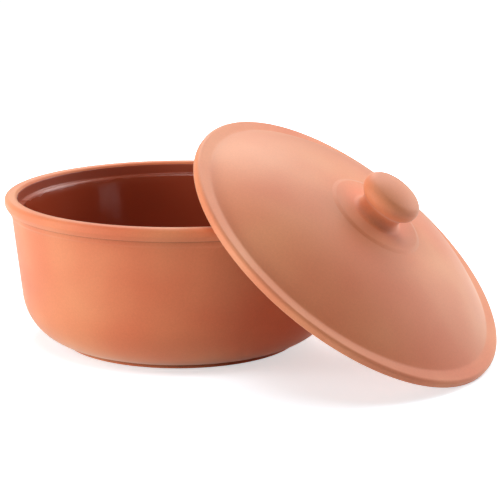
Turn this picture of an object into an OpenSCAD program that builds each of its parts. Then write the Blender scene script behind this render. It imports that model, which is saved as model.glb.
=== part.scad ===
// Bread cloche: a round baking pot of fired clay, glazed inside, with a domed lid.
// The origin is the centre of the pot's foot on the table, +Z is up, and the lid leans towards +X.

/* [Pot] */
// Width across the rim
rim_diameter = 260; // [244:2:276]
// Height from the table to the top of the rim
pot_height = 111; // [105:1:118]
// Thickness of the wall and the base
pot_wall = 7.5; // [6.5:0.5:8.5]
// Angle by which the wall draws in towards the foot, in degrees
wall_taper = 6.3; // [4.5:0.1:7.5]
// Radius of the outside corner between the wall and the base
corner_radius = 39.5; // [32:0.5:44]

/* [Rim] */
// Width of the rim's top, from the mouth to the outside
rim_width = 9; // [8.5:0.5:11]
// How far the rim's band stands out from the wall below it
band_overhang = 5; // [4:0.5:6]
// Height of the band, from the rim's top to the wall below it
band_height = 14.5; // [13.5:0.5:17]
// Height of the band's upright face, from the rim's top
band_face = 6; // [5.5:0.5:8]
// Radius of the rim's outside top edge
rim_round = 3; // [2:0.5:4]
// Depth of the seat inside the mouth, which takes the lid's flange
seat_depth = 10; // [9.5:0.5:12]

/* [Foot] */
// Width across the foot ring
foot_diameter = 177; // [170:1:184]
// Width of the foot ring's wall
foot_width = 8; // [6:0.5:10]
// Height by which the foot ring lifts the base off the table
foot_height = 1.5; // [1:0.25:2.5]

/* [Glaze] */
// Thickness of the glaze inside the pot
glaze_thickness = 0.5; // [0.3:0.1:0.8]

/* [Lid] */
// Height of the lid's outside edge
lid_edge = 6.2; // [5.5:0.1:7.5]
// Width of the flat brim around the dome
brim_width = 10.5; // [10:0.5:12]
// Radius of the hollow round between the brim and the dome
crease_round = 3.5; // [2:0.5:5]
// Rise of the dome above the brim
dome_rise = 31.5; // [28:0.5:36]
// Fullness of the dome: 2 is an even bow, and a higher value has a flatter top and a steeper shoulder
dome_fullness = 2.7; // [2.4:0.1:3.2]
// Thickness of the dome
lid_wall = 7.5; // [6.5:0.5:8]
// Width across the raised disc under the knob
disc_diameter = 75; // [66:1:84]
// Height of the raised disc's step
disc_step = 1.3; // [1:0.1:2]
// Width of the slope around the raised disc
disc_slope = 3; // [2.5:0.25:4]

/* [Flange] */
// Depth of the ring under the lid that drops into the mouth
flange_depth = 6.5; // [5.5:0.25:8]
// Thickness of that ring
flange_width = 8; // [6.5:0.5:9]
// Gap all round between that ring and the glazed mouth
flange_clearance = 4.5; // [3:0.25:5]

/* [Knob] */
// Width across the knob's head
knob_diameter = 45; // [41:1:50]
// Width across the knob's waist
waist_diameter = 32; // [28:1:35]
// Height of the knob above the raised disc
knob_height = 28; // [26:0.5:32]
// Radius of the knob's rolled edge
knob_round = 7.5; // [6.5:0.5:8]

/* [Resting place of the lid] */
// Angle between the leaning lid and the table, in degrees
lid_tilt = 38.4; // [37:0.2:40]

/* [Hidden] */
$fn = 144;

clay_light = "#D08A68";
clay_shade = "#C9825F";
glaze_red = "#8C3A24";

// Angle covered by each straight piece of a rounded edge
arc_step = 7.5;
// Small edge radii, as left by the mould and the sponge
soft_edge = 1.5;
fine_edge = 1.2;
// Radius of the flange's outside lower edge
flange_round = 2.5;
// Gap left between the leaning lid and the rim that carries it
rest_gap = 0.05;

rim_r = rim_diameter / 2;
mouth_r = rim_r - rim_width;
ledge_z = pot_height - seat_depth;
band_z = pot_height - band_height;
floor_z = foot_height + pot_wall;

lid_r = rim_diameter / 2;
crease_r = lid_r - brim_width;
flange_out = mouth_r - glaze_thickness - flange_clearance;
flange_in = flange_out - flange_width;

disc_r = disc_diameter / 2;
disc_top = dome_height(disc_r) + disc_step;

// A point of a circle, with the angle from +X towards +Y
function on_circle(centre, r, a) = centre + r * [cos(a), sin(a)];

// Points along an arc
function arc(centre, r, from, to) =
    let (steps = max(2, ceil(abs(to - from) / arc_step)))
    [for (i = [0 : steps]) on_circle(centre, r, from + (to - from) * i / steps)];

function unit(v) = v / norm(v);
function place(p) = [p[0], p[1]];
function turn(a) = a > 180 ? a - 360 : a < -180 ? a + 360 : a;

// The corner b between a and c, rounded to radius r
function rounded_corner(a, b, c, r) =
    let (u = unit(a - b), v = unit(c - b), half = acos(u * v) / 2)
    let (centre = b + unit(u + v) * r / sin(half))
    let (start = b + u * r / tan(half) - centre, end = b + v * r / tan(half) - centre)
    let (from = atan2(start[1], start[0]))
    arc(centre, r, from, from + turn(atan2(end[1], end[0]) - from));

// An open line through points given as [x, z, corner radius]
function rounded(path) =
    [for (i = [0 : len(path) - 1])
        each path[i][2] == 0
            ? [place(path[i])]
            : rounded_corner(place(path[i - 1]), place(path[i]), place(path[i + 1]), path[i][2])];

function backwards(points) = [for (i = [len(points) - 1 : -1 : 0]) points[i]];

// Radius of the outside wall's line at height z, and of the inside wall's line
function wall_r(z) = rim_r - band_overhang - (band_z - z) * tan(wall_taper);
function bore_r(z) = wall_r(z) - pot_wall / cos(wall_taper);

// The pot's outside, from the middle of the base up to the rim's outside edge
function pot_outside() = rounded([
    [0, foot_height, 0],
    [wall_r(foot_height), foot_height, corner_radius],
    [wall_r(band_z), band_z, 8],
    [rim_r, pot_height - band_face, 4],
    [rim_r, pot_height, rim_round],
    [rim_r - rim_width / 2, pot_height, 0]]);

// The pot's inside from the mouth down to the middle of the floor, moved inwards by skin
function pot_inside(skin) = rounded([
    [mouth_r - skin, pot_height - 2, 0],
    [mouth_r - skin, ledge_z + skin, soft_edge - skin],
    [bore_r(ledge_z + skin) - skin / cos(wall_taper), ledge_z + skin, soft_edge + skin],
    [bore_r(floor_z + skin) - skin / cos(wall_taper), floor_z + skin, corner_radius - pot_wall - skin],
    [0, floor_z + skin, 0]]);

module foot_ring() {
    inner_r = foot_diameter / 2 - foot_width;
    rotate_extrude()
        polygon(rounded([
            [inner_r, foot_height + pot_wall / 2, 0],
            [inner_r, 0, 1],
            [foot_diameter / 2, 0, 1],
            [foot_diameter / 2, foot_height + pot_wall / 2, 0]]));
}

// The clay pot: rim band, seat, wall, base and foot ring in one fired piece
module pot() {
    color(clay_light) {
        rotate_extrude()
            polygon(concat(
                pot_outside(),
                arc([mouth_r + 2, pot_height - 2], 2, 90, 180),
                pot_inside(0)));
        foot_ring();
    }
}

// The glassy coat on the pot's inside, from just under the rim down over the floor
module interior_glaze() {
    color(glaze_red)
        rotate_extrude()
            polygon(concat(pot_inside(0), backwards(pot_inside(glaze_thickness))));
}

// Height of the dome's outside at radius r, above the brim's underside
function dome_height(r) = lid_edge + dome_rise * (1 - (r / crease_r) ^ dome_fullness);

// Fall of the dome at radius r, for each unit outwards
function dome_fall(r) = dome_rise * dome_fullness / crease_r * (r / crease_r) ^ (dome_fullness - 1);

// The point of the dome at radius r, moved inwards at a right angle by depth
function dome_point(r, depth) = [r, dome_height(r)] - depth * unit([dome_fall(r), 1]);

// Radius on the outside of the dome whose point on the hollow side lies at radius inner_r
function radius_over(inner_r, guess, tries) =
    tries == 0 ? guess
    : radius_over(inner_r, inner_r + guess - dome_point(guess, lid_wall)[0], tries - 1);

// Points [x, z, 0] along the dome between two radii, moved inwards by depth
function dome_line(from_r, to_r, depth, steps) =
    [for (i = [0 : steps]) concat(dome_point(from_r + (to_r - from_r) * i / steps, depth), 0)];

// The knob's outline, from the middle of its top down to the raised disc
function knob_outline() =
    let (top = disc_top + knob_height)
    let (edge = [knob_diameter / 2 - knob_round, top - knob_round - 3], above = knob_round + 3)
    let (crown_r = (edge[0] ^ 2 + above ^ 2 - knob_round ^ 2) / (2 * (above - knob_round)))
    let (crown = [0, top - crown_r], crown_end = atan2(edge[1] - crown[1], edge[0]))
    let (waist_r = waist_diameter / 2, waist_round = 8, between = waist_round + knob_round)
    let (waist_z = edge[1] - sqrt(between ^ 2 - (waist_r + waist_round - edge[0]) ^ 2))
    let (waist = [waist_r + waist_round, waist_z])
    let (under = atan2(waist[1] - edge[1], waist[0] - edge[0]), cove = waist_z - disc_top)
    concat(
        arc(crown, crown_r, 90, crown_end),
        arc(edge, knob_round, crown_end, under),
        arc(waist, waist_round, under + 180, 180),
        arc([waist_r + cove, waist_z], cove, 180, 270));

// Radius of the dome above the top of the flange's inside
shoulder_r = radius_over(flange_in, flange_in + lid_wall / 2, 6);

// The lid's outline below the knob: disc, dome, brim, edge, flange and hollow underside
function lid_outline() = rounded(concat(
    [[disc_r - disc_slope - 2, disc_top, 0],
     [disc_r - disc_slope, disc_top, 4],
     [disc_r, dome_height(disc_r), 0.8]],
    dome_line(disc_r + 2, crease_r - 5, 0, 20),
    [[crease_r, lid_edge, crease_round],
     [lid_r, lid_edge, 2.6],
     [lid_r, 0, fine_edge],
     [flange_out, 0, fine_edge],
     [flange_out, -flange_depth, flange_round],
     [flange_in, -flange_depth, soft_edge],
     concat(dome_point(shoulder_r, lid_wall), 2)],
    dome_line(shoulder_r - 5, 0, lid_wall, 22)));

// The lid as it lies shut, with the underside of its brim at z = 0
module lid_shape() {
    rotate_extrude()
        polygon(concat(knob_outline(), lid_outline()));
}

// Height of the lid's middle when it leans with its edge on the table
lean_z = (lid_r - fine_edge) * sin(lid_tilt) - fine_edge * cos(lid_tilt) + fine_edge;

// Gap between the flange and the rounded rim where the rim is seen at angle a from +X,
// with the lid's middle at the distance reach from the pot's middle
function gap_at(a, reach) =
    let (rim = [(rim_r - rim_round) * cos(a) - reach, (rim_r - rim_round) * sin(a)])
    let (rise = pot_height - rim_round - lean_z)
    let (along = rim[0] * sin(lid_tilt) + rise * cos(lid_tilt))
    let (out = norm([rim[0] * cos(lid_tilt) - rise * sin(lid_tilt), rim[1]]))
    let (corner = [flange_in + soft_edge, soft_edge - flange_depth])
    (out > corner[0] ? -flange_depth - along
        : along > corner[1] ? flange_in - out
        : norm([out - corner[0], along - corner[1]]) - soft_edge) - rim_round;

function rim_gap(reach) = min([for (a = [0 : 0.5 : 90]) gap_at(a, reach)]);

// The reach at which the lid comes to rest on the rim, found by halving the interval
function lean_reach(near, far, halvings) =
    halvings == 0 ? far
    : rim_gap((near + far) / 2) > rest_gap
        ? lean_reach(near, (near + far) / 2, halvings - 1)
        : lean_reach((near + far) / 2, far, halvings - 1);

lean_x = lean_reach(rim_r / 2, rim_r * 2, 18);

// The clay lid with its knob and flange in one fired piece, leaning on the rim
module lid() {
    color(clay_shade)
        translate([lean_x, 0, lean_z])
            rotate([0, lid_tilt, 0])
                lid_shape();
}

pot();
interior_glaze();
lid();
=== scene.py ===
import math

import bmesh
import bpy
from bpy.props import FloatProperty, FloatVectorProperty, IntProperty, PointerProperty, StringProperty
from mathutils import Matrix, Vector


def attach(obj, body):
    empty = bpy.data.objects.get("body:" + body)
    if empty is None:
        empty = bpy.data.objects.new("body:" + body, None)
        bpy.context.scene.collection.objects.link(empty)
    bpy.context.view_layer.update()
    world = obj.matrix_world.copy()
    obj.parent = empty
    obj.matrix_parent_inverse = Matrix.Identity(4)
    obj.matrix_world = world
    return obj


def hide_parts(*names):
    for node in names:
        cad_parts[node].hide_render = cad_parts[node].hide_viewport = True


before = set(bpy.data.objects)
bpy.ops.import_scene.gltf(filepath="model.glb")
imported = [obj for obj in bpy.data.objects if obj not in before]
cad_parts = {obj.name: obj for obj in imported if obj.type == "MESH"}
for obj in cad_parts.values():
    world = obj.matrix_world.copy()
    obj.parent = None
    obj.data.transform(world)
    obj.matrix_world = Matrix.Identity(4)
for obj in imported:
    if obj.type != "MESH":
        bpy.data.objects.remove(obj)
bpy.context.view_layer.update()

bl_info = {
    "name": "Bread cloche",
    "version": (1, 0, 0),
    "blender": (4, 5, 0),
    "location": "3D View > Sidebar > Cloche",
    "description": "A baking pot of fired clay, glazed inside, with its domed lid leaning on the rim",
    "category": "Object",
}

MM = 0.001
WHITE = (1.0, 1.0, 1.0, 1.0)

# Drawn points nearer than this are one point, and drawn edges nearer than this are one edge
SAME_POINT = 0.002 * MM
SAME_EDGE = 0.0001 * MM
# Points nearer than this are welded after the spin
WELD = 0.01 * MM
# Largest turn of one segment in a rounded corner, in degrees
CORNER_STEP = 9
# Longest straight edge of an outline before the spin
LONGEST_EDGE = 4 * MM
# Faces that meet at a larger angle than this keep a sharp edge
SMOOTH_ANGLE = math.radians(50)
# Points along the dome's curve
DOME_STEPS = 40
# Radius of the round at the mouth's top edge
MOUTH_ROUND = 2 * MM

# Nearly all values of a noise texture lie between these two
NOISE_LOW = 0.3
NOISE_HIGH = 0.7
# Places of the Mix node's sockets for colours
MIX_SHARE = 0
MIX_FIRST = 6
MIX_SECOND = 7
MIX_RESULT = 2

# Points that the lamps are aimed at
POT_AND_LID = (0.06, 0, 0.07)
POT_LEFT = (-0.05, 0, 0.05)
# Name, place, aim, width, height, and share of the key lamp's power
LAMPS = (
    ("left_low", (-0.95, -1.23, 0.28), POT_AND_LID, 0.9, 0.5, 0.9),
    ("left_near", (-0.44, -0.47, 0.40), POT_LEFT, 0.3, 0.3, 0.08),
    ("top", (0.18, -0.60, 1.53), POT_AND_LID, 0.8, 0.8, 0.6),
    ("back_left", (-0.35, 0.95, 1.25), POT_AND_LID, 0.9, 0.8, 1.0),
    ("back_right", (0.38, 1.17, 1.10), POT_AND_LID, 0.8, 0.6, 0.48),
    ("back_right_low", (0.98, 1.16, 0.52), POT_AND_LID, 1.0, 0.6, 0.72),
)


# Sizes and colours


def size(name, description, millimetres):
    """A length that can be changed in the panel."""
    return FloatProperty(
        name=name, description=description, default=millimetres * MM, unit="LENGTH", precision=5)


class PotSizes(bpy.types.PropertyGroup):
    """Sizes of the pot, and of the glaze inside it."""

    rim_diameter: size("Rim diameter", "Width across the rim", 260)
    height: size("Height", "From the table to the top of the rim", 111)
    wall: size("Wall", "Thickness of the wall and the base", 7.5)
    taper: FloatProperty(
        name="Taper", description="How far the wall draws in",
        default=math.radians(6.3), subtype="ANGLE")
    corner: size("Corner", "Outside radius between the wall and the base", 39.5)
    rim_width: size("Rim width", "From the mouth to the outside", 9)
    overhang: size("Overhang", "How far the rim's band stands out", 5)
    band: size("Band", "Height of the rim's band", 14.5)
    band_face: size("Band face", "Height of the band's upright face", 6)
    groove: size("Groove", "Depth of the sharp groove under the band's lip", 1.8)
    groove_top: size("Groove top", "From the rim down to the groove", 9.3)
    groove_foot: size("Groove foot", "From the rim down to the groove's lower edge", 13)
    rim_round: size("Rim round", "Radius of the rim's outside top edge", 3)
    seat: size("Seat depth", "From the rim down to the seat for the lid", 10)
    foot_diameter: size("Foot diameter", "Width across the foot ring", 177)
    foot_width: size("Foot width", "Width of the foot ring's wall", 8)
    foot_height: size("Foot height", "From the table to the base", 1.5)
    glaze: size("Glaze", "Thickness of the glaze", 0.5)


class LidSizes(bpy.types.PropertyGroup):
    """Sizes of the lid, and the place where it leans."""

    diameter: size("Diameter", "Width across the brim", 260)
    edge: size("Edge", "Height of the outside edge", 6.2)
    brim: size("Brim", "Width of the flat brim", 10.5)
    crease: size("Crease", "Radius of the hollow round between the brim and the dome", 3.5)
    rise: size("Rise", "Rise of the dome above the brim", 31.5)
    fullness: FloatProperty(
        name="Fullness", description="A higher value has a flatter top and a steeper shoulder", default=2.7)
    wall: size("Wall", "Thickness of the dome", 7.5)
    disc: size("Disc", "Width across the raised disc", 75)
    step: size("Step", "Height of the raised disc", 1.3)
    slope: size("Slope", "Width of the slope around the raised disc", 3)
    flange_depth: size("Flange depth", "Depth of the ring that drops into the mouth", 6.5)
    flange_width: size("Flange width", "Thickness of that ring", 8)
    flange_outside: size("Flange outside", "Outside radius of that ring", 116)
    knob: size("Knob", "Width across the knob's head", 45)
    waist: size("Waist", "Width across the knob's waist", 32)
    knob_height: size("Knob height", "Height above the raised disc", 28)
    knob_round: size("Knob round", "Radius of the knob's rolled edge", 7.5)
    tilt: FloatProperty(
        name="Tilt", description="Angle between the lid and the table",
        default=math.radians(38.4), subtype="ANGLE")
    reach: size("Reach", "From the pot's middle to the lid's middle", 137.438)
    lift: size("Lift", "From the table to the lid's middle", 80.263)


class Finishes(bpy.types.PropertyGroup):
    """Colours and grain of the clay and the glaze."""

    clay: StringProperty(name="Clay", description="Colour of the fired clay", default="#E6824F")
    clay_deep: StringProperty(name="Deep clay", description="Where the fire was hotter", default="#DE693E")
    clay_pale: StringProperty(name="Pale clay", description="Where it was cooler", default="#EA9662")
    clouds: FloatProperty(
        name="Clouds", description="Share of the deep and pale clouds in the colour, 0 to 1", default=0.8)
    # Painted light in part: a pale pink mixed into the clay, a little on the pot as its colour and more on
    # the lid as a lighter copy of the clay where it is lit from above
    pale_tint_and_light: StringProperty(
        name="Bloom", description="Colour of the lime that dried on the skin", default="#FFB591")
    pot_pale_tint: FloatProperty(
        name="Pot bloom", description="Share of bloom on the pot, 0 to 1", default=0.08)
    lid_pale_tint_and_light: FloatProperty(
        name="Lid bloom", description="Share of bloom on the lid, 0 to 1", default=0.21)
    glaze: StringProperty(
        name="Glaze", description="Colour of the glaze where it lies thick", default="#964028")
    glaze_thin: StringProperty(
        name="Thin glaze", description="Colour where it runs thin", default="#A65840")
    grain: size("Grain", "Size of the clay's sand grains", 1.4)


class StageSettings(bpy.types.PropertyGroup):
    """Floor, lamps and camera."""

    floor: StringProperty(name="Floor", description="Colour of the floor", default="#E0F2FC")
    glow: FloatProperty(
        name="Glow", description="How far the floor is lifted to white near the pot", default=0.56)
    near: FloatProperty(
        name="Near", description="Up to this distance from the pot's middle the glow is as set",
        default=0.3, unit="LENGTH")
    far: FloatProperty(
        name="Far", description="From this distance on, the floor is plain white",
        default=0.9, unit="LENGTH")
    key: FloatProperty(
        name="Key lamp", description="Power that each lamp has its share of", default=16.5, unit="POWER")
    fill: FloatProperty(name="Fill", description="Strength of the light from all round", default=0.0)
    camera_place: FloatVectorProperty(
        name="Camera", description="Place of the camera",
        default=(0.72886, -1.23797, 0.40227), subtype="TRANSLATION")
    camera_turn: FloatVectorProperty(
        name="Camera turn", description="Turn of the camera",
        default=(math.radians(76.828), 0.0, math.radians(28.42)), subtype="EULER")
    lens: FloatProperty(name="Lens", description="Focal length on a 36 mm sensor", default=141.7)
    spin_steps: IntProperty(name="Spin steps", description="Steps of a full turn on the wheel", default=192)


# Drawing and spinning outlines


def deselect_everything():
    """Leaves edit mode, with nothing selected."""
    if bpy.context.object and bpy.context.object.mode != "OBJECT":
        bpy.ops.object.mode_set(mode="OBJECT")
    bpy.ops.object.select_all(action="DESELECT")


def start_outline(name, point):
    """One vertex at (radius, height), made from a small plane, and left in edit mode."""
    deselect_everything()
    bpy.ops.mesh.primitive_plane_add(size=MM)
    piece = bpy.context.object
    piece.name = name
    piece.data.name = name
    bpy.ops.object.mode_set(mode="EDIT")
    bpy.ops.mesh.select_all(action="SELECT")
    bpy.ops.mesh.merge(type="CENTER")
    bpy.ops.transform.translate(value=(point[0], 0, point[1]))
    return piece


def draw_on(points, here):
    """Extrudes the last vertex from point to point."""
    for radius, height in points:
        step = (radius - here[0], 0, height - here[1])
        bpy.ops.mesh.extrude_vertices_move(TRANSFORM_OT_translate={"value": step})
        here = (radius, height)


def pick(piece, wanted):
    """Selects the vertices that pass the test, in edit mode."""
    bpy.ops.mesh.select_mode(type="VERT")
    bpy.ops.mesh.select_all(action="DESELECT")
    mesh = bmesh.from_edit_mesh(piece.data)
    found = [v for v in mesh.verts if wanted(v.co)]
    for v in found:
        v.select_set(True)
    bmesh.update_edit_mesh(piece.data)
    return len(found)


def round_corner(piece, before, corner, after, radius):
    """Rounds one corner of the drawn outline to a radius."""
    u = (Vector(before) - Vector(corner)).normalized()
    v = (Vector(after) - Vector(corner)).normalized()
    half = u.angle(v) / 2
    place = Vector((corner[0], 0, corner[1]))
    if pick(piece, lambda co: (co - place).length < SAME_POINT) != 1:
        raise RuntimeError(f"{piece.name}: no single corner at {corner}")
    turn = math.degrees(math.pi - 2 * half)
    bpy.ops.mesh.bevel(
        offset=radius / math.tan(half), offset_type="OFFSET", affect="VERTICES",
        segments=max(3, round(turn / CORNER_STEP)), profile=0.5, clamp_overlap=False)


def draw_outline(name, path):
    """Draws a path of (radius, height, corner radius), with its corners rounded."""
    places = [(r, z) for r, z, _ in path]
    piece = start_outline(name, places[0])
    draw_on(places[1:], places[0])
    for i, (r, z, radius) in enumerate(path):
        if radius > 0:
            round_corner(piece, places[i - 1], places[i], places[(i + 1) % len(path)], radius)
    return piece


def arc(centre, radius, start, end, step=4.0):
    """Points along an arc, angles in degrees from the outward direction, upwards."""
    count = max(2, math.ceil(abs(end - start) / step))
    angles = [math.radians(start + (end - start) * i / count) for i in range(count + 1)]
    return [(centre[0] + radius * math.cos(a), centre[1] + radius * math.sin(a)) for a in angles]


def sharp(points):
    """Points of a curve as a path without corner radii."""
    return [(r, z, 0) for r, z in points]


def part_long_edges(piece, longest):
    """Cuts the outline's long edges, so that the wall's shading is held near its corners."""
    mesh = bmesh.from_edit_mesh(piece.data)
    cuts = {e: math.ceil(e.calc_length() / longest) - 1 for e in mesh.edges}
    for number in sorted(set(cuts.values()) - {0, -1}):
        chosen = [tuple(v.co.copy() for v in e.verts) for e in mesh.edges if cuts.get(e) == number]
        bpy.ops.mesh.select_mode(type="EDGE")
        bpy.ops.mesh.select_all(action="DESELECT")
        for e in mesh.edges:
            first, second = (v.co for v in e.verts)
            if any((first - a).length + (second - b).length < SAME_EDGE for a, b in chosen):
                e.select_set(True)
        bmesh.update_edit_mesh(piece.data)
        bpy.ops.mesh.subdivide(number_cuts=number)
        mesh = bmesh.from_edit_mesh(piece.data)
        cuts = {e: math.ceil(round(e.calc_length() / longest, 3)) - 1 for e in mesh.edges}


def spin_outline(piece, steps):
    """Turns the drawn outline once round the middle, as on a wheel, and closes it."""
    bpy.ops.mesh.select_mode(type="VERT")
    bpy.ops.mesh.select_all(action="SELECT")
    bpy.ops.mesh.spin(steps=steps, angle=math.tau, center=(0, 0, 0), axis=(0, 0, 1))
    bpy.ops.mesh.select_all(action="SELECT")
    bpy.ops.mesh.remove_doubles(threshold=WELD)
    bpy.ops.mesh.normals_make_consistent(inside=False)
    bpy.ops.object.mode_set(mode="OBJECT")
    bpy.ops.object.shade_smooth_by_angle(angle=SMOOTH_ANGLE)


# Colours and nodes


def linear(code):
    """A colour written as in sRGB, turned to the linear values that a shader takes."""
    parts = [int(code[i:i + 2], 16) / 255 for i in (1, 3, 5)]
    return [c / 12.92 if c <= 0.04045 else ((c + 0.055) / 1.055) ** 2.4 for c in parts] + [1.0]


def add_node(tree, kind, settings=None, inputs=None):
    """Adds a node with its settings, and values or links on its inputs."""
    node = tree.nodes.new(kind)
    for name, value in (settings or {}).items():
        setattr(node, name, value)
    for name, value in (inputs or {}).items():
        if isinstance(value, bpy.types.NodeSocket):
            tree.links.new(value, node.inputs[name])
        else:
            node.inputs[name].default_value = value
    return node


def empty_material(name):
    """A new material without nodes, and its node tree."""
    material = bpy.data.materials.new(name)
    material.use_nodes = True
    material.node_tree.nodes.clear()
    return material, material.node_tree


def noise(tree, place, feature, detail, roughness=0.5):
    """A noise texture, with the size of its features in metres."""
    return add_node(
        tree, "ShaderNodeTexNoise", None,
        {"Vector": place, "Scale": 1 / feature, "Detail": detail, "Roughness": roughness})


def from_noise(tree, texture, low, high):
    """A noise texture's values, stretched to a range."""
    stretched = add_node(
        tree, "ShaderNodeMapRange", None,
        {"Value": texture.outputs["Fac"], "From Min": NOISE_LOW, "From Max": NOISE_HIGH,
         "To Min": low, "To Max": high})
    return stretched.outputs["Result"]


def mixed(tree, share, first, second):
    """A mix of two colours, with the share of the second one."""
    mix = add_node(
        tree, "ShaderNodeMix", {"data_type": "RGBA"},
        {MIX_SHARE: share, MIX_FIRST: first, MIX_SECOND: second})
    return mix.outputs[MIX_RESULT]


def scaled(tree, colour, factor):
    """A colour made darker or lighter by a factor."""
    product = add_node(
        tree, "ShaderNodeVectorMath", {"operation": "SCALE"}, {0: colour, "Scale": factor})
    return product.outputs["Vector"]


def fired_clay(name, finishes, pale_tint_and_light, middle=(0, 0, 0), tilt=0.0):
    """Terracotta: red earthenware, pressed in a turning mould, sponged, and fired without a glaze.

    It is dry and chalky to the eye, with soft clouds of colour from the kiln and fine sand grains.
    """
    material, tree = empty_material(name)
    where = add_node(tree, "ShaderNodeTexCoord")
    # The pattern stands upright on the piece's own axis, also where the piece leans
    upright = add_node(
        tree, "ShaderNodeMapping", {"vector_type": "TEXTURE"},
        {"Vector": where.outputs["Object"], "Location": middle, "Rotation": (0, tilt, 0)})
    on_wheel = upright.outputs["Vector"]

    # Clouds about 80 mm across, where the kiln was hotter or cooler
    clouds = noise(tree, on_wheel, 80 * MM, 2.0, 0.45)
    fire = from_noise(tree, clouds, 0.0, 1.0)
    fired = mixed(tree, fire, linear(finishes.clay_pale), linear(finishes.clay_deep))
    body = mixed(tree, finishes.clouds, linear(finishes.clay), fired)
    # Painted light in part: the colour is mixed towards a pale pink, a little on the pot as its colour, and
    # more on the lid, which makes the top-lit lid a lighter copy of the same clay
    paled_and_lit = mixed(tree, pale_tint_and_light, body, linear(finishes.pale_tint_and_light))

    # Sand in the clay: real grains are about 0.4 mm, drawn coarser so that they show in the render
    sand = noise(tree, on_wheel, finishes.grain, 2.0, 0.6)
    grained = scaled(tree, paled_and_lit, from_noise(tree, sand, 0.97, 1.03))

    # Painted shade: the colour is darkened, down to half, in the creases and hollows where the occlusion
    # node finds the space within 6 mm closed in
    crease = add_node(
        tree, "ShaderNodeAmbientOcclusion", {"only_local": True, "samples": 8}, {"Distance": 6 * MM})
    painted_crease_shade = add_node(
        tree, "ShaderNodeMapRange", {"interpolation_type": "SMOOTHSTEP"},
        {"Value": crease.outputs["AO"], "From Min": 0.55, "From Max": 0.95, "To Min": 0.5, "To Max": 1.0})
    crease_shaded = scaled(tree, grained, painted_crease_shade.outputs["Result"])

    # The skin's waviness under the sponge, about 9 mm long, and the sand's roughness on it
    skin = noise(tree, on_wheel, 9 * MM, 1.0)
    wavy = add_node(
        tree, "ShaderNodeBump", None,
        {"Height": skin.outputs["Fac"], "Strength": 0.25, "Distance": 0.25 * MM})
    gritty = add_node(
        tree, "ShaderNodeBump", None,
        {"Height": sand.outputs["Fac"], "Strength": 0.3, "Distance": 0.06 * MM,
         "Normal": wavy.outputs["Normal"]})

    # The deep clouds are a little drier, and the sheen is the dust on the skin
    dryness = from_noise(tree, clouds, 0.52, 0.62)
    # The base colour carries the painted shade in the creases
    shader = add_node(
        tree, "ShaderNodeBsdfPrincipled", None,
        {"Base Color": crease_shaded, "Roughness": dryness, "IOR": 1.5, "Specular IOR Level": 0.3,
         "Diffuse Roughness": 0.4, "Sheen Weight": 0.45, "Sheen Roughness": 0.4,
         "Sheen Tint": (1.0, 0.95, 0.8, 1.0), "Normal": gritty.outputs["Normal"]})
    add_node(tree, "ShaderNodeOutputMaterial", None, {"Surface": shader.outputs["BSDF"]})
    return material


def brown_glaze(name, finishes, pot):
    """Brown glaze: a thin clear glass over the clay, poured in, drained and fired.

    It is dark and wet-looking, redder where it ran thin off the edges.
    """
    material, tree = empty_material(name)
    where = add_node(tree, "ShaderNodeTexCoord")
    place = where.outputs["Object"]
    # Wandering streaks about 35 mm across, in which it drained
    flow = noise(tree, place, 35 * MM, 2.0)
    height = add_node(tree, "ShaderNodeSeparateXYZ", None, {"Vector": place})
    # From the seat upwards it thins out over this height
    drained = 14 * MM
    wander = add_node(
        tree, "ShaderNodeMath", {"operation": "MULTIPLY_ADD"},
        {0: flow.outputs["Fac"], 1: drained, 2: height.outputs["Z"]})
    seat_height = pot.height - pot.seat
    thin = add_node(
        tree, "ShaderNodeMapRange", {"interpolation_type": "SMOOTHSTEP"},
        {"Value": wander.outputs["Value"], "From Min": seat_height, "From Max": seat_height + drained,
         "To Min": 0.0, "To Max": 0.5})
    colour = mixed(tree, thin.outputs["Result"], linear(finishes.glaze), linear(finishes.glaze_thin))
    # The faint waves of a glaze that levelled out in the fire, about 9 mm long
    level = noise(tree, place, 9 * MM, 1.0)
    waves = add_node(
        tree, "ShaderNodeBump", None,
        {"Height": level.outputs["Fac"], "Strength": 0.4, "Distance": 0.2 * MM})
    # Thin glaze is drier, so it shines less
    dry = add_node(
        tree, "ShaderNodeMapRange", None,
        {"Value": thin.outputs["Result"], "From Min": 0.0, "From Max": 0.3, "To Min": 0.1, "To Max": 0.34})
    shader = add_node(
        tree, "ShaderNodeBsdfPrincipled", None,
        {"Base Color": colour, "Roughness": dry.outputs["Result"], "IOR": 1.52,
         "Normal": waves.outputs["Normal"]})
    add_node(tree, "ShaderNodeOutputMaterial", None, {"Surface": shader.outputs["BSDF"]})
    return material


def dress(piece, material, body, node):
    """Gives a finished piece its material and its body, and hides the CAD node that it stands for."""
    piece.data.materials.clear()
    piece.data.materials.append(material)
    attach(piece, body)
    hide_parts(node)


# Outlines of the real pieces


def wall_radius(pot, z):
    """Radius of the wall's outside line at a height."""
    return pot.rim_diameter / 2 - pot.overhang - (pot.height - pot.band - z) * math.tan(pot.taper)


def under_band(pot, z):
    """Radius of the slope under the rim's band at a height."""
    fall = (pot.height - pot.band_face - z) / (pot.band - pot.band_face)
    return pot.rim_diameter / 2 - pot.overhang * fall


def bore_radius(pot, z):
    """Radius of the wall's inside line at a height."""
    return wall_radius(pot, z) - pot.wall / math.cos(pot.taper)


def inside_path(pot, skin):
    """The pot's inside, from under the rim down to the middle of the floor, moved inwards by a skin."""
    mouth = pot.rim_diameter / 2 - pot.rim_width
    ledge = pot.height - pot.seat + skin
    floor = pot.foot_height + pot.wall + skin
    slant = skin / math.cos(pot.taper)
    seat_round = 1.5 * MM
    return [
        (mouth - skin, pot.height - MOUTH_ROUND, 0),
        (mouth - skin, ledge, seat_round - skin),
        (bore_radius(pot, ledge) - slant, ledge, seat_round + skin),
        (bore_radius(pot, floor) - slant, floor, pot.corner - pot.wall - skin),
        (0, floor, 0),
    ]


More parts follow.
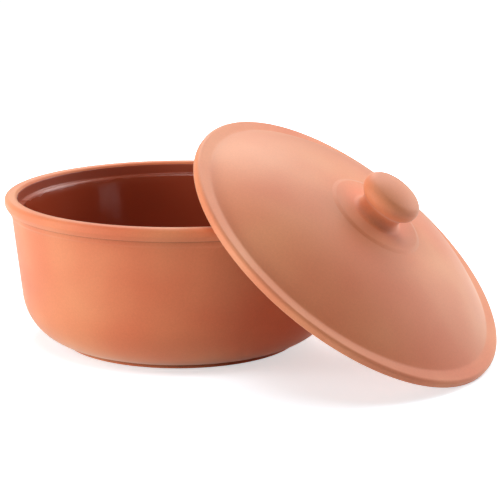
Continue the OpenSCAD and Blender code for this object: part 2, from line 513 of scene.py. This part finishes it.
def foot_and_corner(pot):
    """The underside: base, foot ring, and the large round between the foot and the wall."""
    base = pot.foot_height
    inner = pot.foot_diameter / 2 - pot.foot_width
    outer = pot.foot_diameter / 2
    hollow_round, ring_round = 0.5 * MM, 1 * MM
    centre_z = base + pot.corner
    centre_r = wall_radius(pot, centre_z) - pot.corner / math.cos(pot.taper)
    start = -math.degrees(math.acos((outer - centre_r) / pot.corner))
    round_off = arc((centre_r, centre_z), pot.corner, start, -math.degrees(pot.taper))
    return [
        (0, base, 0),
        (inner, base, hollow_round),
        (inner, 0, ring_round),
        (outer, 0, ring_round),
    ] + sharp(round_off)


def pot_path(pot):
    """The whole clay pot, from the middle of the base round the rim to the middle of the floor."""
    rim = pot.rim_diameter / 2
    mouth = rim - pot.rim_width
    top = pot.height
    groove_top = top - pot.groove_top
    groove_foot = top - pot.groove_foot
    wall_blend, face_blend = 3 * MM, 2.5 * MM
    groove_foot_round, groove_hollow_round, lip_round = 0.8 * MM, 0.3 * MM, 0.4 * MM
    return foot_and_corner(pot) + [
        (wall_radius(pot, top - pot.band), top - pot.band, wall_blend),
        (under_band(pot, groove_foot), groove_foot, groove_foot_round),
        (under_band(pot, groove_top) - pot.groove, groove_top, groove_hollow_round),
        (under_band(pot, groove_top), groove_top, lip_round),
        (rim, top - pot.band_face, face_blend),
        (rim, top, pot.rim_round),
        (mouth, top, MOUTH_ROUND),
    ] + inside_path(pot, 0)[1:]


def glaze_path(pot):
    """The glaze's two faces, from the middle of the floor up to the rim and back down."""
    back = inside_path(pot, 0)
    face = inside_path(pot, pot.glaze)
    edge_round = 0.3 * MM
    face[0] = (face[0][0], face[0][1], edge_round)
    return list(reversed(face)) + back


def dome_height(lid, r):
    """Height of the dome's outside at a radius."""
    crease = lid.diameter / 2 - lid.brim
    return lid.edge + lid.rise * (1 - (r / crease) ** lid.fullness)


def dome_point(lid, r, depth):
    """A point of the dome, moved inwards at a right angle."""
    crease = lid.diameter / 2 - lid.brim
    fall = lid.rise * lid.fullness / crease * (r / crease) ** (lid.fullness - 1)
    length = math.hypot(fall, 1)
    return (r - depth * fall / length, dome_height(lid, r) - depth / length)


def dome_line(lid, start, end, depth):
    """The dome's curve from one radius to another, moved inwards by a depth."""
    radii = [start + (end - start) * i / DOME_STEPS for i in range(DOME_STEPS + 1)]
    return sharp(dome_point(lid, r, depth) for r in radii)


def knob_points(lid, disc_top):
    """The knob, from the middle of its crowned head over the rolled edge and down the waist."""
    top = disc_top + lid.knob_height
    crowning = 3 * MM
    crown_step, round_step = 2, 5
    edge = (lid.knob / 2 - lid.knob_round, top - lid.knob_round - crowning)
    above = lid.knob_round + crowning
    crown_r = (edge[0] ** 2 + above ** 2 - lid.knob_round ** 2) / (2 * (above - lid.knob_round))
    crown = (0, top - crown_r)
    crown_end = math.degrees(math.atan2(edge[1] - crown[1], edge[0]))
    waist_r = lid.waist / 2
    hollow = 8 * MM
    drop = math.sqrt((hollow + lid.knob_round) ** 2 - (waist_r + hollow - edge[0]) ** 2)
    waist = (waist_r + hollow, edge[1] - drop)
    under = math.degrees(math.atan2(waist[1] - edge[1], waist[0] - edge[0]))
    cove = waist[1] - disc_top
    return (
        arc(crown, crown_r, 90, crown_end, crown_step)[:-1]
        + arc(edge, lid.knob_round, crown_end, under, round_step)[:-1]
        + arc(waist, hollow, under + 180, 180, round_step)[:-1]
        + arc((waist_r + cove, waist[1]), cove, 180, 270, round_step)
    )


def lid_path(lid):
    """The whole lid, from the middle of the knob's head round the edge to the middle of the hollow."""
    rim = lid.diameter / 2
    crease = rim - lid.brim
    disc = lid.disc / 2
    disc_top = dome_height(lid, disc) + lid.step
    disc_blend, disc_foot_round = 4 * MM, 0.8 * MM
    brim_round, under_round = 2.6 * MM, 1.2 * MM
    flange_tip_round, flange_inside_round, hollow_round = 2.5 * MM, 1.5 * MM, 2 * MM
    # The dome's curve stops short of its ends, to leave room for the rounds there
    past_disc, before_crease, before_shoulder = 2 * MM, 5 * MM, 5 * MM
    # Where the hollow meets the flange's inside: each round comes about twenty times closer
    flange_in = lid.flange_outside - lid.flange_width
    shoulder = flange_in + lid.wall / 2
    for _ in range(6):
        shoulder += flange_in - dome_point(lid, shoulder, lid.wall)[0]
    return sharp(knob_points(lid, disc_top)) + [
        (disc - lid.slope, disc_top, disc_blend),
        (disc, dome_height(lid, disc), disc_foot_round),
    ] + dome_line(lid, disc + past_disc, crease - before_crease, 0) + [
        (crease, lid.edge, lid.crease),
        (rim, lid.edge, brim_round),
        (rim, 0, under_round),
        (lid.flange_outside, 0, under_round),
        (lid.flange_outside, -lid.flange_depth, flange_tip_round),
        (flange_in, -lid.flange_depth, flange_inside_round),
        dome_point(lid, shoulder, lid.wall) + (hollow_round,),
    ] + dome_line(lid, shoulder - before_shoulder, 0, lid.wall)


# The steps


class SpinPot(bpy.types.Operator):
    """Draw the pot's outline and spin it"""

    bl_idname = "cloche.spin_pot"
    bl_label = "Spin the pot"

    def execute(self, context):
        scene = context.scene
        pot = scene.cloche_pot
        piece = draw_outline("clay_pot", pot_path(pot))
        part_long_edges(piece, LONGEST_EDGE)
        spin_outline(piece, scene.cloche_stage.spin_steps)
        finishes = scene.cloche_finishes
        clay = fired_clay("terracotta_pot", finishes, finishes.pot_pale_tint)
        dress(piece, clay, "pot", "pot")
        return {"FINISHED"}


class GlazeInside(bpy.types.Operator):
    """Coat the pot's inside with glaze"""

    bl_idname = "cloche.glaze_inside"
    bl_label = "Glaze the inside"

    def execute(self, context):
        scene = context.scene
        pot = scene.cloche_pot
        piece = draw_outline("glaze_coat", glaze_path(pot))
        part_long_edges(piece, LONGEST_EDGE)
        spin_outline(piece, scene.cloche_stage.spin_steps)
        glaze = brown_glaze("brown_glaze", scene.cloche_finishes, pot)
        dress(piece, glaze, "pot", "interior_glaze")
        return {"FINISHED"}


class SpinLid(bpy.types.Operator):
    """Draw the lid's outline, spin it and lean it on the rim"""

    bl_idname = "cloche.spin_lid"
    bl_label = "Spin and lean the lid"

    def execute(self, context):
        scene = context.scene
        lid = scene.cloche_lid
        piece = draw_outline("clay_lid", lid_path(lid))
        part_long_edges(piece, LONGEST_EDGE)
        spin_outline(piece, scene.cloche_stage.spin_steps)
        middle = (lid.reach, 0, lid.lift)
        piece.rotation_euler = (0, lid.tilt, 0)
        piece.location = middle
        bpy.ops.object.transform_apply(location=True, rotation=True, scale=True)
        finishes = scene.cloche_finishes
        clay = fired_clay("terracotta_lid", finishes, finishes.lid_pale_tint_and_light, middle, lid.tilt)
        dress(piece, clay, "lid", "lid")
        return {"FINISHED"}


def softbox(name, place, target, width, height, power):
    """A large soft white lamp, aimed at a point."""
    lamp = bpy.data.lights.new(name, "AREA")
    lamp.shape = "RECTANGLE"
    lamp.size = width
    lamp.size_y = height
    lamp.energy = power
    holder = bpy.data.objects.new(name, lamp)
    holder.location = place
    aim = Vector(target) - Vector(place)
    holder.rotation_euler = aim.to_track_quat("-Z", "Y").to_euler()
    holder.visible_camera = False
    bpy.context.scene.collection.objects.link(holder)


def lay_floor(stage):
    """A large sheet of matt white paper, plain white away from the pot.

    Its own light is seen directly and in reflections, but gives the pot no soft light. It is weaker near
    the pot, which keeps the soft shadow.
    """
    deselect_everything()
    bpy.ops.mesh.primitive_plane_add(size=6.0)
    floor = bpy.context.object
    floor.name = "floor"
    paper, tree = empty_material("floor_paper")
    path = add_node(tree, "ShaderNodeLightPath")
    seen = add_node(
        tree, "ShaderNodeMath", {"operation": "MAXIMUM"},
        {0: path.outputs["Is Camera Ray"], 1: path.outputs["Is Glossy Ray"]})
    seen_through = add_node(
        tree, "ShaderNodeMath", {"operation": "MAXIMUM"},
        {0: seen.outputs["Value"], 1: path.outputs["Is Transmission Ray"]})
    where = add_node(tree, "ShaderNodeTexCoord")
    distance = add_node(
        tree, "ShaderNodeVectorMath", {"operation": "LENGTH"}, {0: where.outputs["Object"]})
    away = add_node(
        tree, "ShaderNodeMapRange", {"interpolation_type": "SMOOTHSTEP"},
        {"Value": distance.outputs["Value"], "From Min": stage.near, "From Max": stage.far,
         "To Min": stage.glow, "To Max": 1.0})
    lift = add_node(
        tree, "ShaderNodeMath", {"operation": "MULTIPLY"},
        {0: seen_through.outputs["Value"], 1: away.outputs["Result"]})
    matt = add_node(tree, "ShaderNodeBsdfDiffuse", None, {"Color": linear(stage.floor)})
    glow = add_node(
        tree, "ShaderNodeEmission", None, {"Color": WHITE, "Strength": lift.outputs["Value"]})
    both = add_node(
        tree, "ShaderNodeAddShader", None, {0: matt.outputs["BSDF"], 1: glow.outputs["Emission"]})
    add_node(tree, "ShaderNodeOutputMaterial", None, {"Surface": both.outputs["Shader"]})
    floor.data.materials.append(paper)


def hang_backdrop(scene, fill):
    """White all round for the camera, and light of its own strength for everything else."""
    world = bpy.data.worlds.new("studio")
    scene.world = world
    world.use_nodes = True
    tree = world.node_tree
    tree.nodes.clear()
    path = add_node(tree, "ShaderNodeLightPath")
    room = add_node(tree, "ShaderNodeBackground", None, {"Color": WHITE, "Strength": fill})
    backdrop = add_node(tree, "ShaderNodeBackground", None, {"Color": WHITE, "Strength": 1.0})
    both = add_node(
        tree, "ShaderNodeMixShader", None,
        {0: path.outputs["Is Camera Ray"], 1: room.outputs["Background"],
         2: backdrop.outputs["Background"]})
    add_node(tree, "ShaderNodeOutputWorld", None, {"Surface": both.outputs["Shader"]})


def set_camera(scene, stage):
    """Puts the camera where the photographer's stood."""
    camera = bpy.data.cameras.new("camera")
    camera.sensor_width = 36.0
    camera.lens = stage.lens
    camera.clip_end = 20.0
    holder = bpy.data.objects.new("camera", camera)
    holder.location = stage.camera_place
    holder.rotation_euler = stage.camera_turn
    scene.collection.objects.link(holder)
    scene.camera = holder


class SetStage(bpy.types.Operator):
    """Lay the floor, hang the lamps and set up the camera"""

    bl_idname = "cloche.set_stage"
    bl_label = "Set the stage"

    def execute(self, context):
        scene = context.scene
        stage = scene.cloche_stage
        lay_floor(stage)
        hang_backdrop(scene, stage.fill)
        for name, place, aim, width, height, share in LAMPS:
            softbox(name, place, aim, width, height, stage.key * share)
        set_camera(scene, stage)
        scene.view_settings.view_transform = "Standard"
        return {"FINISHED"}


class ClochePanel(bpy.types.Panel):
    """The steps of the making and the sizes that they use"""

    bl_idname = "VIEW3D_PT_cloche"
    bl_label = "Bread cloche"
    bl_space_type = "VIEW_3D"
    bl_region_type = "UI"
    bl_category = "Cloche"

    def draw(self, context):
        scene = context.scene
        for step in STEPS:
            self.layout.operator(step.bl_idname)
        for group in (scene.cloche_pot, scene.cloche_lid, scene.cloche_finishes, scene.cloche_stage):
            column = self.layout.box().column()
            for name in group.__annotations__:
                column.prop(group, name)


STEPS = (SpinPot, GlazeInside, SpinLid, SetStage)
GROUPS = {
    "cloche_pot": PotSizes,
    "cloche_lid": LidSizes,
    "cloche_finishes": Finishes,
    "cloche_stage": StageSettings,
}


def register():
    """Registers the settings, the steps and the panel."""
    for group in GROUPS.values():
        bpy.utils.register_class(group)
    for name, group in GROUPS.items():
        setattr(bpy.types.Scene, name, PointerProperty(type=group))
    for step in STEPS:
        bpy.utils.register_class(step)
    bpy.utils.register_class(ClochePanel)


def unregister():
    """Takes away what register added, in reverse order."""
    bpy.utils.unregister_class(ClochePanel)
    for step in reversed(STEPS):
        bpy.utils.unregister_class(step)
    for name, group in reversed(GROUPS.items()):
        delattr(bpy.types.Scene, name)
        bpy.utils.unregister_class(group)


def main():
    """Makes the pieces and the stage."""
    register()
    bpy.ops.cloche.spin_pot()
    bpy.ops.cloche.glaze_inside()
    bpy.ops.cloche.spin_lid()
    bpy.ops.cloche.set_stage()


if __name__ == "__main__":
    main()
